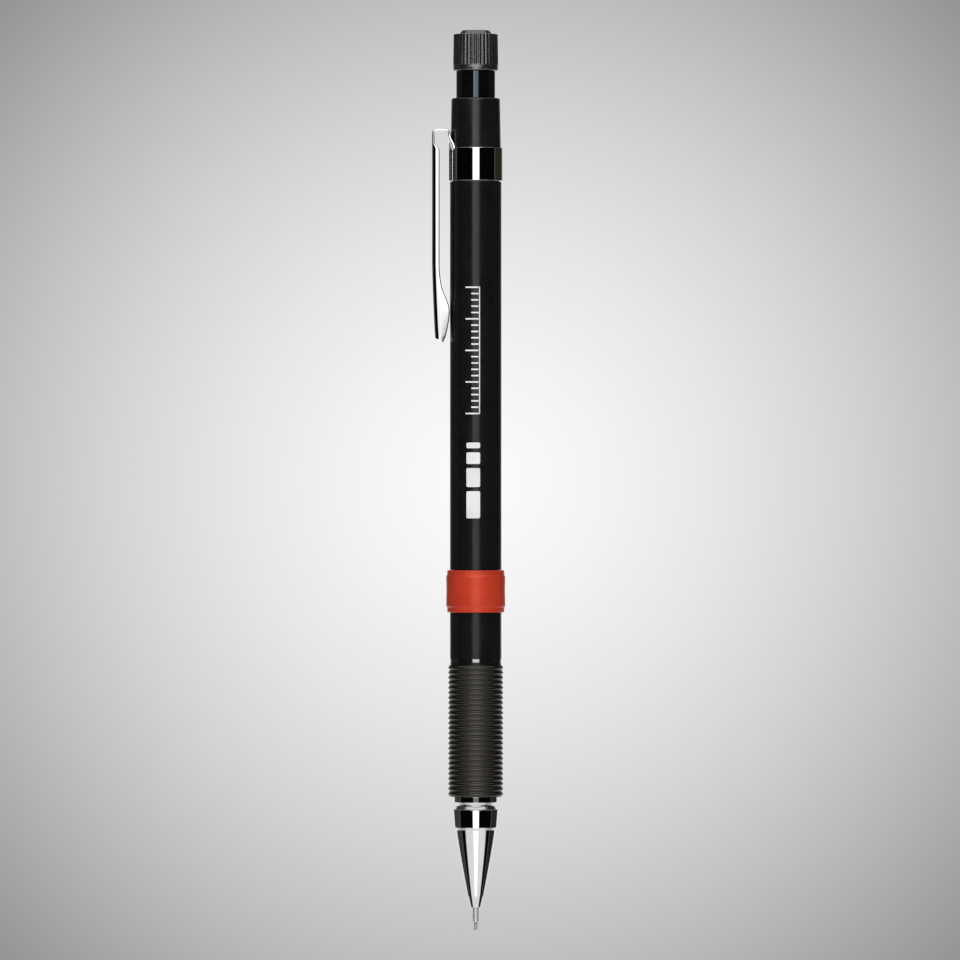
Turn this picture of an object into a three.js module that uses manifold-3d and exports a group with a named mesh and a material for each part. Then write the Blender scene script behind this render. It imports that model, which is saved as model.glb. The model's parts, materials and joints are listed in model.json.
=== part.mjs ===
// A push-button mechanical pencil for 0.5 mm leads, taken apart into its real pieces.
// Millimetres, +Z up. The pencil stands on its writing tip: the origin is the centre of the lead's flat end,
// the barrel's axis is Z, and the pocket clip is on the -X side.
import * as THREE from 'three';
import { mergeVertices } from 'three/addons/utils/BufferGeometryUtils.js';
import Module from 'manifold-3d';

const wasm = await Module();
wasm.setup();

// Heights above the lead's end, from the tip to the crown.
const Z = {
  sleeveTip: 1.29,
  coneTip: 3.54,
  bevelTop: 5.37,
  coneTop: 15.9,
  collarBottom: 16.3,
  collarTop: 19.2,
  flangeBottom: 20.2,
  gripBottom: 21.2,
  gripTop: 42.07,
  ringBottom: 50.4,
  ringTop: 57.2,
  bandBottom: 118.9,
  bandTop: 124.25,
  endSleeveTop: 132.1,
  crownBottom: 136.5,
  crownCollarTop: 137.55,
  crownTop: 142.4,
  top: 143,
};

// Radii of what shows from outside.
const R = {
  lead: 0.25,
  sleeve: 0.47,
  coneTip: 0.8,
  bevelTop: 1.3,
  coneTop: 3.215,
  collarBottom: 3.4,
  collarTop: 3.625,
  neck: 3,
  flange: 3.45,
  gripRidge: 4.375,
  gripGroove: 4.15,
  barrel: 4.1,
  ring: 4.7,
  ringLip: 4.52,
  band: 4.3,
  endSleeveBottom: 4,
  endSleeveTop: 3.85,
  pushTube: 3.1,
  crown: 3.575,
  crownTop: 3.5,
  crownBoss: 2.15,
};

// Radii and heights of what is inside.
const SLEEVE = { hole: 0.52, bore: 0.31, top: 6.5 }; // the lead sleeve and the nose cone's hole for it
const RETAINER = { r: 0.98, bottom: 6.65, top: 8.5, pocket: 1.05, pocketBottom: 6.6, pocketTop: 8.6 };
const PASSAGE = { front: 1.5, back: 1.95, top: 13.7 }; // from the retainer to the clutch ring's chamber
const SPIGOT = { r: 2.85, bore: 2.4, top: 27.5 }; // the nose cone's rear end, screwed into the front section
const SOCKET = { r: 2.98, depth: 27.7, web: 2.42, webTop: 29, bore: 2.75 }; // the front section's inside
const JOINER = { r: 3.3, top: 58 }; // the front section's rear end, plugged into the barrel
const REAR_PLUG = { r: 3.55, bottom: 112, neck: 3.78, bore: 3.2 }; // the end sleeve's plug in the barrel
const SEAT = { r: 2.28, bore: 1.8, front: 16.6, flange: 2.62, flangeBottom: 29.1, top: 30 };
const CLUTCH = { r: 2.2, front: 14.4, back: 16.5 };
const JAW = { front: 13, root: 20.1, head: 1.25, stem: 0.85, bore: 0.3, slot: 0.26 };
const JAW_TAPER = { chamfer: 0.35, front: 13.75, back: 16.6 }; // where a finger's head narrows to its stem
const SHANK = { r: 1, bore: 0.45, front: 20.3, back: 29.9 };
const CONNECTOR = { r: 1.6, bore: 0.6, front: 25.5, flange: 2.6, flangeBottom: 43.9, top: 52 };
const RESERVOIR = { r: 2.2, bore: 1.65, bottom: 48.3, top: 129.5 };
const TUBE = { bore: 2.3, neck: 2.72, bottom: 115.2, top: 140.3 };
const HOLDER = { r: 2.2, bore: 1.85, bottom: 130.2, floor: 131.2, rim: 2.66, top: 140.9 };
const ERASER = { r: 1.74, top: 141.6 };
const SPRING = { wire: 0.2, r: 2.12, turns: 10, bottom: 30.25, top: 43.65 };
const LEAD_LENGTH = 60;
const SPARE_LEADS = { count: 3, offset: 1, bottom: 49 };

// The clip: sheet thickness, the arm's width, the height of its side flanges and where it bends.
const CLIP = {
  sheet: 0.35,
  width: 3.8,
  root: 125.5,
  archTop: 127.25,
  archRadius: 0.8,
  inside: 4.1,
  outside: 6.93,
  flangeEdge: 5.75,
  flangeTop: 125,
  kneeStart: 105.6,
  knee: 4.3,
  end: 93.1,
};

const GAP = 0.05; // between pieces that butt against each other
const RIDGES = 26;
const FLUTES = 36;
const FLUTE_DEPTH = 0.15;
const SIDES = 40;
const GRIP_SIDES = 20;
const FINE_SIDES = 24; // for the small parts of the mechanism
const LEAD_SIDES = 10;

const MATERIALS = {
  chrome: { color: 0xd8dade, roughness: 0.08, metalness: 1 },
  steel: { color: 0xb9bbbd, roughness: 0.3, metalness: 1 },
  brass: { color: 0xc9a357, roughness: 0.3, metalness: 1 },
  graphite: { color: 0x35363a, roughness: 0.5, metalness: 0.2 },
  glossBlack: { color: 0x141416, roughness: 0.15, metalness: 0 },
  satinBlack: { color: 0x191919, roughness: 0.35, metalness: 0 },
  rubberBlack: { color: 0x292724, roughness: 0.75, metalness: 0 },
  retainerRubber: { color: 0x2c2c2c, roughness: 0.8, metalness: 0 },
  red: { color: 0xa23524, roughness: 0.4, metalness: 0 },
  smokedPlastic: { color: 0x11181c, roughness: 0.12, metalness: 0 },
  crownPlastic: { color: 0x33312e, roughness: 0.4, metalness: 0 },
  innerPlastic: { color: 0xb8bcc0, roughness: 0.4, metalness: 0 },
  whiteEraser: { color: 0xf1efea, roughness: 0.9, metalness: 0 },
};

// A solid turned about Z from a closed outline of [radius, height] points, listed anticlockwise.
function turned(outline, sides = SIDES) {
  const points = outline.map(([r, z]) => new THREE.Vector2(r, z));
  const [first, last] = [points[0], points.at(-1)];
  if (first.x > 0 || last.x > 0) {
    points.push(first.clone());
  }
  return new THREE.LatheGeometry(points, sides).rotateX(Math.PI / 2);
}

// A straight tube, or a rod if the bore is left out.
function tube(radius, bottom, top, bore = 0, sides = SIDES) {
  return turned([[bore, bottom], [radius, bottom], [radius, top], [bore, top]], sides);
}

// Extrudes an outline of [x, z] points along Y, centred on the given y.
function plate(outline, width, y = 0) {
  const shape = new THREE.Shape(outline.map(([x, z]) => new THREE.Vector2(x, z)));
  const body = new THREE.ExtrudeGeometry(shape, { depth: width, bevelEnabled: false });
  return body.rotateX(Math.PI / 2).translate(0, y + width / 2, 0);
}

// The outline of a bent sheet that follows a line of [x, z] points, half the thickness to each side.
function sheetOutline(line, thickness) {
  const sides = [1, -1].map((side) => line.map(([x, z], i) => {
    const [ax, az] = line[Math.max(i - 1, 0)];
    const [bx, bz] = line[Math.min(i + 1, line.length - 1)];
    const length = Math.hypot(bx - ax, bz - az);
    const offset = side * thickness / 2 / length;
    return [x - (bz - az) * offset, z + (bx - ax) * offset];
  }));
  return [...sides[0], ...sides[1].reverse()];
}

// Points on an arc about [x, z], angles in degrees.
function arc(x, z, radius, from, to, steps) {
  return Array.from({ length: steps + 1 }, (_, i) => {
    const angle = THREE.MathUtils.degToRad(from + (to - from) * i / steps);
    return [x + radius * Math.cos(angle), z + radius * Math.sin(angle)];
  });
}

function solidOf(geometry) {
  const bare = geometry.clone();
  bare.deleteAttribute('normal');
  bare.deleteAttribute('uv');
  const merged = mergeVertices(bare, 1e-4);
  return new wasm.Manifold(new wasm.Mesh({
    numProp: 3,
    vertProperties: merged.attributes.position.array,
    triVerts: new Uint32Array(merged.index.array),
  }));
}

function geometryOf(solid) {
  const { vertProperties, triVerts } = solid.getMesh();
  const geometry = new THREE.BufferGeometry();
  geometry.setAttribute('position', new THREE.BufferAttribute(vertProperties, 3));
  geometry.setIndex(new THREE.BufferAttribute(triVerts, 1));
  const flat = geometry.toNonIndexed();
  flat.computeVertexNormals();
  return flat;
}

const pencil = new THREE.Group();

function add(name, geometry, material) {
  const mesh = new THREE.Mesh(geometry, new THREE.MeshStandardMaterial(MATERIALS[material]));
  mesh.name = name;
  pencil.add(mesh);
  return mesh;
}

// Writing tip -------------------------------------------------------------------------------------------

// Cone, collar, neck and flange outside. Inside: the lead sleeve's hole, the retainer's pocket, a passage
// that widens for the chuck, and the chamber in which the clutch ring slides.
function noseCone() {
  const neckBevel = 0.15;
  const rimBevel = 0.1;
  return turned([
    [SLEEVE.hole, Z.coneTip],
    [R.coneTip, Z.coneTip],
    [R.bevelTop, Z.bevelTop],
    [R.coneTop, Z.coneTop],
    [R.collarBottom, Z.collarBottom],
    [R.collarTop, Z.collarTop - rimBevel],
    [R.collarTop - rimBevel, Z.collarTop],
    [R.neck, Z.collarTop + neckBevel],
    [R.neck, Z.flangeBottom - neckBevel],
    [R.flange, Z.flangeBottom],
    [R.flange, Z.gripBottom],
    [SPIGOT.r, Z.gripBottom],
    [SPIGOT.r, SPIGOT.top],
    [SPIGOT.bore, SPIGOT.top],
    [SPIGOT.bore, PASSAGE.top],
    [PASSAGE.back, PASSAGE.top],
    [PASSAGE.front, RETAINER.pocketTop],
    [RETAINER.pocket, RETAINER.pocketTop],
    [RETAINER.pocket, RETAINER.pocketBottom],
    [SLEEVE.hole, RETAINER.pocketBottom],
  ]);
}

function addTip() {
  add('nose_cone', noseCone(), 'chrome');
  add('lead_sleeve', tube(R.sleeve, Z.sleeveTip, SLEEVE.top, SLEEVE.bore, FINE_SIDES), 'steel');
  const { r, bottom, top } = RETAINER;
  add('lead_retainer', tube(r, bottom, top, SLEEVE.bore, FINE_SIDES), 'retainerRubber');
  add('working_lead', tube(R.lead, 0, LEAD_LENGTH, 0, LEAD_SIDES), 'graphite');
}

// Barrel ------------------------------------------------------------------------------------------------

// The front tube carries the grip, and its bare end swells to the barrel's diameter.
function frontSection() {
  const shoulder = Z.gripTop + GAP;
  const underGrip = 3.42;
  const rounding = 0.5;
  return turned([
    [SOCKET.r, Z.gripBottom + GAP],
    [underGrip, Z.gripBottom + GAP],
    [underGrip, shoulder],
    [R.barrel - rounding, shoulder],
    ...arc(R.barrel - rounding, shoulder + rounding, rounding, -60, 0, 3),
    [R.barrel, Z.ringBottom - GAP],
    [JOINER.r, Z.ringBottom - GAP],
    [JOINER.r, JOINER.top],
    [SOCKET.bore, JOINER.top],
    [SOCKET.bore, SOCKET.webTop],
    [SOCKET.web, SOCKET.webTop],
    [SOCKET.web, SOCKET.depth],
    [SOCKET.r, SOCKET.depth],
  ]);
}

// A rubber sleeve with a ridge and a groove for each pitch.
function gripSleeve() {
  const bore = 3.5;
  const pitch = (Z.gripTop - Z.gripBottom) / RIDGES;
  const outline = [[bore, Z.gripBottom]];
  for (let i = 0; i < RIDGES; i += 1) {
    const z = Z.gripBottom + i * pitch;
    outline.push([R.gripGroove, z + 0.12 * pitch], [R.gripRidge, z + 0.5 * pitch]);
  }
  outline.push([R.gripGroove, Z.gripTop], [bore, Z.gripTop]);
  return turned(outline, GRIP_SIDES);
}

// Two lips and a body with a slight waist.
function colourRing() {
  const lip = 0.9;
  const bore = 3.42;
  const bottom = Z.ringBottom + GAP;
  const top = Z.ringTop - GAP;
  return turned([
    [bore, bottom],
    [R.ringLip, bottom],
    [R.ringLip, bottom + lip],
    [R.ring, bottom + lip + 0.1],
    [R.ring - 0.05, (bottom + top) / 2],
    [R.ring, top - lip - 0.1],
    [R.ringLip, top - lip],
    [R.ringLip, top],
    [bore, top],
  ]);
}

function mainBarrel() {
  const bore = 3.15;
  const joinerBore = 3.42;
  const plugBore = 3.62;
  const endGap = 0.2; // beyond the two plugs' ends
  const bevel = 0.1;
  return turned([
    [joinerBore, Z.ringTop],
    [R.barrel - bevel, Z.ringTop],
    [R.barrel, Z.ringTop + bevel],
    [R.barrel, Z.bandBottom - GAP - bevel],
    [R.barrel - bevel, Z.bandBottom - GAP],
    [plugBore, Z.bandBottom - GAP],
    [plugBore, REAR_PLUG.bottom - endGap],
    [bore, REAR_PLUG.bottom - endGap],
    [bore, JOINER.top + endGap],
    [joinerBore, JOINER.top + endGap],
  ]);
}

// Plugs the barrel, holds the clip band on its neck and guides the push tube in its bore.
function endSleeve() {
  const rounding = 0.3;
  return turned([
    [REAR_PLUG.bore, REAR_PLUG.bottom],
    [REAR_PLUG.r, REAR_PLUG.bottom],
    [REAR_PLUG.r, Z.bandBottom],
    [REAR_PLUG.neck, Z.bandBottom],
    [REAR_PLUG.neck, Z.bandTop],
    [R.endSleeveBottom, Z.bandTop],
    ...arc(R.endSleeveTop - rounding, Z.endSleeveTop - rounding, rounding, 0, 90, 3),
    [REAR_PLUG.bore, Z.endSleeveTop],
  ]);
}

function addBarrel() {
  add('grip_sleeve', gripSleeve(), 'rubberBlack');
  add('front_section', frontSection(), 'glossBlack');
  add('colour_ring', colourRing(), 'red');
  add('barrel', mainBarrel(), 'glossBlack');
  add('end_sleeve', endSleeve(), 'satinBlack');
}

// Clip --------------------------------------------------------------------------------------------------

// A rolled band with a tongue that rises on the clip's side, clear of the end sleeve.
function clipBand() {
  const tongue = { inner: 4.08, outer: 4.38, halfAngle: 26, bottom: 121.5 };
  const band = solidOf(tube(R.band, Z.bandBottom + GAP, Z.bandTop - GAP, REAR_PLUG.neck + 0.08));
  const from = 180 - tongue.halfAngle;
  const to = 180 + tongue.halfAngle;
  const section = [
    ...arc(0, 0, tongue.outer, from, to, 8),
    ...arc(0, 0, tongue.inner, to, from, 8),
  ];
  const shape = new THREE.Shape(section.map(([x, y]) => new THREE.Vector2(x, y)));
  const height = CLIP.root - 0.1 - tongue.bottom;
  const rising = new THREE.ExtrudeGeometry(shape, { depth: height, bevelEnabled: false });
  rising.translate(0, 0, tongue.bottom);
  return geometryOf(band.add(solidOf(rising)));
}

// The line of the clip's web: up from the root, over the arch, down the arm and in towards its end.
function webLine() {
  const half = CLIP.sheet / 2;
  const inner = -CLIP.inside - half;
  const outer = -CLIP.outside + half;
  const radius = CLIP.archRadius;
  const crest = CLIP.archTop - half - radius;
  return [
    [inner, CLIP.root],
    ...arc(inner - radius, crest, radius, 0, 90, 6),
    ...arc(outer + radius, crest, radius, 90, 180, 6),
    [outer, CLIP.kneeStart],
    [outer + 0.14, 102],
    [outer + 0.35, 97.5],
    [outer + 0.6, CLIP.end + 0.4],
  ];
}

// The flange's free edge runs down beside the web, swells into the knee that bears on the barrel, and
// comes back at the end.
function kneeLine() {
  return [
    [-CLIP.flangeEdge, CLIP.kneeStart],
    [-5.45, 102.8],
    [-4.85, 100.9],
    [-4.45, 99.6],
    [-CLIP.knee, 98.3],
    [-4.4, 97],
    [-4.75, 95.4],
    [-5.25, 93.9],
  ];
}

function clipArm() {
  const web = solidOf(plate(sheetOutline(webLine(), CLIP.sheet), CLIP.width));
  const knee = kneeLine();
  const pad = sheetOutline(knee.slice(2), CLIP.sheet).map(([x, z]) => [x - CLIP.sheet / 2, z]);
  const flange = [
    [-CLIP.outside + 0.1, CLIP.flangeTop],
    [-CLIP.flangeEdge, CLIP.flangeTop - 1.2],
    ...knee,
    [-5.6, CLIP.end + 0.2],
    [-6.25, CLIP.end + 0.5],
    [-6.45, 97.5],
    [-6.66, 102],
    [-CLIP.outside + 0.1, CLIP.kneeStart],
  ].reverse();
  const side = (CLIP.width - CLIP.sheet) / 2;
  return geometryOf(web
    .add(solidOf(plate(pad, CLIP.width)))
    .add(solidOf(plate(flange, CLIP.sheet, side)))
    .add(solidOf(plate(flange, CLIP.sheet, -side))));
}

function addClip() {
  add('clip_band', clipBand(), 'chrome');
  add('clip_arm', clipArm(), 'chrome');
}

// Chuck mechanism ---------------------------------------------------------------------------------------

// A helix with closed ends: the first and last turns lie flat, and the pitch eases in between them.
class SpringLine extends THREE.Curve {
  getPoint(t, target = new THREE.Vector3()) {
    const angle = 2 * Math.PI * SPRING.turns * t;
    const flat = 1 / SPRING.turns;
    const lift = 2 * SPRING.wire + 0.04;
    const climb = THREE.MathUtils.clamp((t - flat) / (1 - 2 * flat), 0, 1);
    const closed = Math.min(t, flat) + Math.max(t - 1 + flat, 0);
    const rise = SPRING.top - SPRING.bottom - 2 * lift;
    const z = SPRING.bottom + closed / flat * lift + climb * rise;
    return target.set(SPRING.r * Math.cos(angle), SPRING.r * Math.sin(angle), z);
  }
}

function returnSpring() {
  const wire = new THREE.Shape();
  wire.absarc(0, 0, SPRING.wire, 0, 2 * Math.PI);
  const sweep = { steps: SPRING.turns * 12, curveSegments: 3, extrudePath: new SpringLine() };
  return new THREE.ExtrudeGeometry(wire, sweep);
}

// One finger of the collet: a third of a turned sleeve, less half a slot at each side. Its head tapers
// towards the root, so that the clutch ring closes it.
function chuckFinger() {
  const { chamfer, front, back } = JAW_TAPER;
  const sleeve = solidOf(turned([
    [JAW.bore, JAW.front],
    [JAW.head - chamfer, JAW.front],
    [JAW.head, JAW.front + chamfer],
    [JAW.head, front],
    [JAW.stem, back],
    [JAW.stem, JAW.root],
    [SHANK.bore, JAW.root],
    [SHANK.bore, back],
    [JAW.bore, back - chamfer],
  ], FINE_SIDES));
  const reach = 3;
  const sixth = Math.PI / 3;
  const apex = JAW.slot / 2 / Math.sin(sixth);
  const sector = new THREE.Shape([
    new THREE.Vector2(apex, 0),
    new THREE.Vector2(apex + reach * Math.cos(sixth), -reach * Math.sin(sixth)),
    new THREE.Vector2(apex + reach, 0),
    new THREE.Vector2(apex + reach * Math.cos(sixth), reach * Math.sin(sixth)),
  ]);
  const depth = JAW.root - JAW.front + 2;
  const wedge = new THREE.ExtrudeGeometry(sector, { depth, bevelEnabled: false });
  wedge.translate(0, 0, JAW.front - 1);
  return geometryOf(sleeve.intersect(solidOf(wedge)));
}

// The ring's inner taper follows the fingers' heads.
function clutchRing() {
  const clearance = 0.08;
  const slope = (JAW.head - JAW.stem) / (JAW_TAPER.back - JAW_TAPER.front);
  const wide = JAW.stem + slope * (JAW_TAPER.back - CLUTCH.front) + clearance;
  const narrow = JAW.stem + slope * (JAW_TAPER.back - CLUTCH.back) + clearance;
  return turned([
    [wide, CLUTCH.front],
    [CLUTCH.r - 0.1, CLUTCH.front],
    [CLUTCH.r, CLUTCH.front + 0.1],
    [CLUTCH.r, CLUTCH.back],
    [narrow, CLUTCH.back],
  ], FINE_SIDES);
}

// A bushing whose flange rests on the front section's web.
function clutchSeat() {
  return turned([
    [SEAT.bore, SEAT.front],
    [SEAT.r, SEAT.front],
    [SEAT.r, SEAT.flangeBottom],
    [SEAT.flange, SEAT.flangeBottom],
    [SEAT.flange, SEAT.top],
    [SEAT.bore, SEAT.top],
  ], FINE_SIDES);
}

// Holds the chuck in front and the reservoir behind, with a funnel that guides a new lead to the chuck.
function chuckConnector() {
  const shankBore = SHANK.r + 0.1;
  const reservoirBore = RESERVOIR.r + 0.08;
  return turned([
    [shankBore, CONNECTOR.front],
    [CONNECTOR.r, CONNECTOR.front],
    [CONNECTOR.r, CONNECTOR.flangeBottom],
    [CONNECTOR.flange, CONNECTOR.flangeBottom],
    [CONNECTOR.flange, CONNECTOR.top],
    [reservoirBore, CONNECTOR.top],
    [reservoirBore, RESERVOIR.bottom - 0.1],
    [RESERVOIR.bore, RESERVOIR.bottom - 0.1],
    [CONNECTOR.bore, CONNECTOR.flangeBottom + 1.5],
    [CONNECTOR.bore, SHANK.back + 0.1],
    [shankBore, SHANK.back + 0.1],
  ], FINE_SIDES);
}

function addMechanism() {
  add('clutch_seat', clutchSeat(), 'brass');
  add('return_spring', returnSpring(), 'steel');
  add('clutch_ring', clutchRing(), 'brass');
  for (let i = 0; i < 3; i += 1) {
    const finger = add(`chuck_jaw_${i + 1}`, chuckFinger(), 'brass');
    finger.rotation.z = i * 2 * Math.PI / 3;
  }
  add('chuck_shank', tube(SHANK.r, SHANK.front, SHANK.back, SHANK.bore, FINE_SIDES), 'brass');
  add('chuck_connector', chuckConnector(), 'innerPlastic');
  const { r, bottom, top, bore } = RESERVOIR;
  add('lead_reservoir', tube(r, bottom, top, bore, FINE_SIDES), 'innerPlastic');
  const stick = [R.lead, SPARE_LEADS.bottom, SPARE_LEADS.bottom + LEAD_LENGTH, 0, LEAD_SIDES];
  for (let i = 0; i < SPARE_LEADS.count; i += 1) {
    const angle = (i + 0.5) * 2 * Math.PI / SPARE_LEADS.count;
    const spare = add(`spare_lead_${i + 1}`, tube(...stick), 'graphite');
    spare.position.set(SPARE_LEADS.offset * Math.cos(angle), SPARE_LEADS.offset * Math.sin(angle), 0);
  }
}

// Push button -------------------------------------------------------------------------------------------

function pushTube() {
  const shoulder = Z.crownBottom - 2 * GAP;
  return turned([
    [TUBE.bore, TUBE.bottom],
    [R.pushTube, TUBE.bottom],
    [R.pushTube, shoulder],
    [TUBE.neck, shoulder],
    [TUBE.neck, TUBE.top],
    [TUBE.bore, TUBE.top],
  ]);
}

function eraserHolder() {
  return turned([
    [0, HOLDER.bottom],
    [HOLDER.r, HOLDER.bottom],
    [HOLDER.r, TUBE.top + 0.1],
    [HOLDER.rim, TUBE.top + 0.1],
    [HOLDER.rim, HOLDER.top],
    [HOLDER.bore, HOLDER.top],
    [HOLDER.bore, HOLDER.floor],
    [0, HOLDER.floor],
  ], FINE_SIDES);
}

// The outline of the fluted part, as it is seen from above.
function fluteOutline() {
  const points = [];
  for (let i = 0; i < FLUTES; i += 1) {
    for (const [step, depth] of [[0.2, 0], [0.45, FLUTE_DEPTH], [0.75, FLUTE_DEPTH], [1, 0]]) {
      const angle = (i + step) * 2 * Math.PI / FLUTES;
      const radius = R.crown - depth;
      points.push(new THREE.Vector2(radius * Math.cos(angle), radius * Math.sin(angle)));
    }
  }
  return points;
}

// A cap with a smooth collar, fine flutes and a bevelled boss on top. Its inside clears the push tube's
// neck, and a deeper pocket clears the eraser.
function crownCap() {
  const neckBore = 2.85;
  const eraserPocket = 2;
  const neckTop = 141.1;
  const pocketTop = 142;
  const outside = solidOf(turned([
    [neckBore, Z.crownBottom],
    [R.crown, Z.crownBottom],
    [R.crown, Z.crownCollarTop],
    [R.crownTop, Z.crownTop - 0.2],
    [R.crownTop - 0.2, Z.crownTop],
    [2.6, Z.crownTop],
    [R.crownBoss, Z.top],
    [0, Z.top],
    [0, pocketTop],
    [eraserPocket, pocketTop],
    [eraserPocket, neckTop],
    [neckBore, neckTop],
  ]));
  const cutter = new THREE.Shape();
  cutter.absarc(0, 0, R.crown + 1, 0, 2 * Math.PI);
  cutter.holes.push(new THREE.Path(fluteOutline()));
  const depth = Z.top - Z.crownCollarTop + 1;
  const flutes = new THREE.ExtrudeGeometry(cutter, { depth, bevelEnabled: false });
  flutes.translate(0, 0, Z.crownCollarTop);
  return geometryOf(outside.subtract(solidOf(flutes)));
}

function addPushButton() {
  add('push_tube', pushTube(), 'smokedPlastic');
  add('eraser_holder', eraserHolder(), 'innerPlastic');
  add('eraser', tube(ERASER.r, HOLDER.floor + GAP, ERASER.top, 0, FINE_SIDES), 'whiteEraser');
  add('crown_cap', crownCap(), 'crownPlastic');
}

addTip();
addBarrel();
addClip();
addMechanism();
addPushButton();

export default pencil;
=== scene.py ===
# The looks of the mechanical pencil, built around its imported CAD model.
# The pencil stands on its lead's end, its axis is Z and the clip is at -X. Sizes below are in millimetres,
# and MM turns them into the scene's metres where a mesh is made.
import json
import math

import bmesh
import bpy
from mathutils import Matrix, Vector


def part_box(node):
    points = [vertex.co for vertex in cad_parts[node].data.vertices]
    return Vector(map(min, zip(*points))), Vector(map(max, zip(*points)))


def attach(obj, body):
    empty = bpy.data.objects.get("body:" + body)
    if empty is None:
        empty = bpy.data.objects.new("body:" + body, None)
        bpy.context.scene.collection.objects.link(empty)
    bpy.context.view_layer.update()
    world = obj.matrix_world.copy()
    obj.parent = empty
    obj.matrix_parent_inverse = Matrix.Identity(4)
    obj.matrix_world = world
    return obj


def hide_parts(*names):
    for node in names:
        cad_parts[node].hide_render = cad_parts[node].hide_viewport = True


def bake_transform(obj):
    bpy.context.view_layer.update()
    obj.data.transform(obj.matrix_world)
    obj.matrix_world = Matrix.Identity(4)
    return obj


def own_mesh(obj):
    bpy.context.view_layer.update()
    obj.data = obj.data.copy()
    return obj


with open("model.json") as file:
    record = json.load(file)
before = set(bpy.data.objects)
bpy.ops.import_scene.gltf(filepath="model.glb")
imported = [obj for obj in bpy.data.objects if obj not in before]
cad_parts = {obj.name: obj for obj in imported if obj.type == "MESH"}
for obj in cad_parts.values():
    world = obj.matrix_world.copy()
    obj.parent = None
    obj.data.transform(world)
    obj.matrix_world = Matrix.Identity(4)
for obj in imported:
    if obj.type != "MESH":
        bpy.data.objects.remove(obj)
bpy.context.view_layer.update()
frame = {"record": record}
RECORD = frame["record"]

MM = 0.001
SEGMENTS = 96  # steps round a turned piece
ARC_STEP = math.radians(13)
EDGE_ROUNDING = 0.04
SUPPORT = 0.05  # how far from a corner the extra point of a long straight sits
MERGE = 1e-8  # points closer than this, in metres, become one
SHARP_ANGLE = math.radians(50)  # steeper edges are shaded sharp

BODY_OF = {node: body for body, nodes in RECORD["behaviour"]["bodies"].items() for node in nodes}
SLOT_OF = {part["node"]: part["material_slot"] for part in RECORD["subparts"]}


def low(node):
    """The lowest height of a CAD node, in millimetres."""
    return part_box(node)[0].z / MM


def high(node):
    """The greatest height of a CAD node, in millimetres."""
    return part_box(node)[1].z / MM


def radius(node):
    """The outer radius of a CAD node turned about Z."""
    return -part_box(node)[0].y / MM


# Meshes -------------------------------------------------------------------------------------------------

def arc_at(corner, before, after, rounding):
    """The points of a fillet of that radius where two straight stretches meet."""
    here = Vector(corner)
    back = Vector(before) - here
    onward = Vector(after) - here
    turn = math.pi - back.angle(onward)
    if turn < math.radians(2) or rounding <= 0:
        return [here]
    reach = min(rounding * math.tan(turn / 2), 0.45 * back.length, 0.45 * onward.length)
    size = reach / math.tan(turn / 2)
    bisector = (back.normalized() + onward.normalized()).normalized()
    centre = here + bisector * size / math.cos(turn / 2)
    start = here + back.normalized() * reach - centre
    end = here + onward.normalized() * reach - centre
    steps = max(2, math.ceil(turn / ARC_STEP))
    side = 1 if start.x * end.y - start.y * end.x > 0 else -1
    points = []
    for i in range(steps + 1):
        angle = side * turn * i / steps
        cos, sin = math.cos(angle), math.sin(angle)
        points.append(centre + Vector((start.x * cos - start.y * sin, start.x * sin + start.y * cos)))
    return points


def outline(corners):
    """A closed outline in [radius, height] with its corners rounded, and a point near both ends of each
    long straight so that smooth shading stays flat there. A corner may give a rounding of its own."""
    rounded = []
    for i, (r, z, *given) in enumerate(corners):
        rounding = given[0] if given else EDGE_ROUNDING
        if r == 0:
            rounded.append(Vector((r, z)))
            continue
        after = corners[(i + 1) % len(corners)]
        rounded.extend(arc_at((r, z), corners[i - 1][:2], after[:2], rounding))
    line = []
    for i, here in enumerate(rounded):
        line.append(here)
        onward = rounded[(i + 1) % len(rounded)] - here
        if onward.length > 4 * SUPPORT and not (here.x == 0 and onward.x == 0):
            line.append(here + onward.normalized() * SUPPORT)
            line.append(here + onward - onward.normalized() * SUPPORT)
    return line


def mesh_of(name, loops, ring=True):
    """A closed mesh over loops of points in millimetres. With ring, the last loop joins the first one;
    otherwise the two end loops are filled."""
    count = len(loops[0])
    flat = [point * MM for loop in loops for point in loop]
    faces = []
    for i in range(len(loops) if ring else len(loops) - 1):
        j = (i + 1) % len(loops)
        for k in range(count):
            m = (k + 1) % count
            faces.append((i * count + k, i * count + m, j * count + m, j * count + k))
    if not ring:
        last = (len(loops) - 1) * count
        faces.append(tuple(range(count - 1, -1, -1)))
        faces.append(tuple(range(last, last + count)))
    mesh = bpy.data.meshes.new(name)
    mesh.from_pydata(flat, [], faces)
    work = bmesh.new()
    work.from_mesh(mesh)
    bmesh.ops.remove_doubles(work, verts=work.verts, dist=MERGE)
    bmesh.ops.recalc_face_normals(work, faces=work.faces)
    work.to_mesh(mesh)
    work.free()
    mesh.shade_smooth()
    mesh.set_sharp_from_angle(angle=SHARP_ANGLE)
    return mesh


def turned(name, line, segments=SEGMENTS, shape=None):
    """Turns an outline about Z. shape(r, z, angle) gives the radius where it differs from the outline's."""
    loops = []
    for i in range(segments):
        angle = 2 * math.pi * i / segments
        cos, sin = math.cos(angle), math.sin(angle)
        loop = []
        for r, z in line:
            reach = shape(r, z, angle) if shape else r
            loop.append(Vector((reach * cos, reach * sin, z)))
        loops.append(loop)
    return mesh_of(name, loops)


def place(name, mesh, body, slot=None, replaced=()):
    """Puts a mesh on a CAD body, with the material of its slot. A piece without a slot is white print."""
    piece = bpy.data.objects.new(name, mesh)
    bpy.context.scene.collection.objects.link(piece)
    mesh.materials.append(MATERIALS[slot or "white_ink"])
    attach(piece, body)
    if replaced:
        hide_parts(*replaced)
    return piece


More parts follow.
